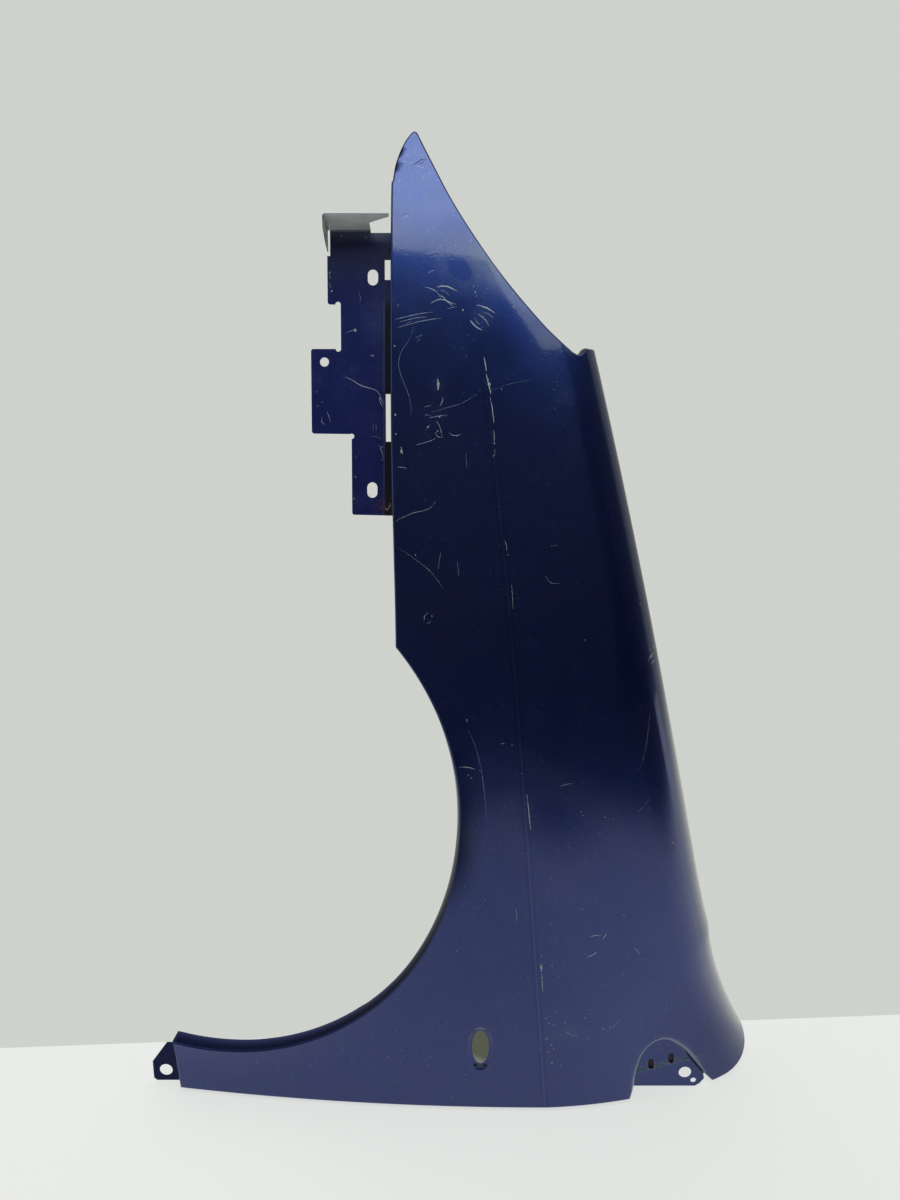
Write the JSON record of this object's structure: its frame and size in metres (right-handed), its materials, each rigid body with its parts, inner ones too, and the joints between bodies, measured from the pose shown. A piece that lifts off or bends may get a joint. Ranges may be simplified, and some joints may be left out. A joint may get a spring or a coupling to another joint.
{
  "type": "car front fender",
  "caption": "Left front fender of a passenger car in dark blue, scratched and chipped, with its bumper bracket.",
  "frame": {"origin": "middle of the bounding box's bottom face, with the fender stood on its door edge", "axes": "+Z points forward in the car, from the door edge to the headlight tip; +X points up in the car; -Y is the painted, outer side of a left fender and +Y is inboard"},
  "size_m": [0.8322, 0.1684, 1.2204],
  "materials": {
    "skin_paint": "gloss",
    "bracket_paint": "satin"
  },
  "bodies": {
    "root": {"fender_skin": "skin_paint", "bumper_bracket": "bracket_paint"}
  },
  "joints": []
}
